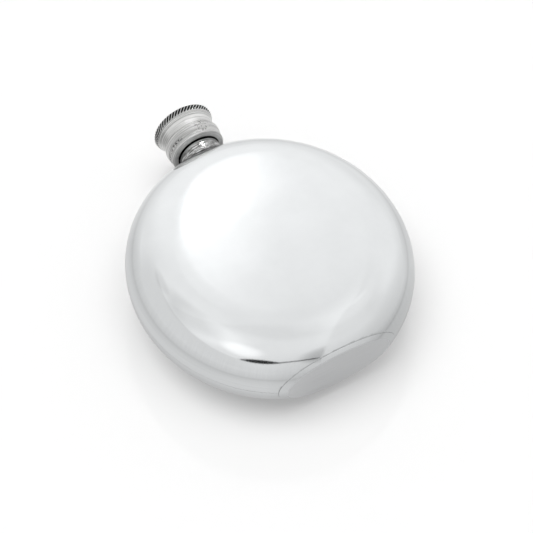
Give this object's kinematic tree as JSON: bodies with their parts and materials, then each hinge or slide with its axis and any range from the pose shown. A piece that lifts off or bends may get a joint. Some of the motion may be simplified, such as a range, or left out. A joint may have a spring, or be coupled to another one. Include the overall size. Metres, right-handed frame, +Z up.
{
  "type": "hip flask",
  "caption": "Round pebble-shaped metal hip flask with a flat oval foot, a soldered neck and a knurled screw cap that turns off along the neck.",
  "frame": {"origin": "on the ground under the middle of the flask's overall length and width, as it lies on its back", "axes": "+Z up, out of the front face; +Y along the neck, from the foot to the cap; +X across"},
  "size_m": [0.095, 0.1082, 0.036],
  "materials": {
    "polished_pewter": "polished pewter with faint scratches",
    "matte_pewter": "matte, linished flat",
    "neck_pewter": "turned and polished pewter",
    "satin_pewter": "satin cast and turned pewter",
    "seal_plastic": "pale food-safe sealing disc"
  },
  "bodies": {
    "flask": {"front_shell": "polished_pewter", "rear_shell": "polished_pewter", "foot_plate": "matte_pewter", "neck": "neck_pewter"},
    "seal": {"cap_seal": "seal_plastic"},
    "cap": {"cap_shell": "satin_pewter", "cap_bush": "satin_pewter"}
  },
  "joints": [
    {"name": "cap_rise", "type": "slide", "parent": "flask", "child": "seal", "axis": [0, 1, 0], "range_m": [0, 0.01]},
    {"name": "cap_turn", "type": "hinge", "parent": "seal", "child": "cap", "pos_m": [0, 0.047, 0.018], "axis": [0, 1, 0], "range_deg": [0, 1440]}
  ],
  "couplings": [
    {"joint": "cap_rise", "follows": "cap_turn", "m_per_rad": 0.0003978}
  ]
}
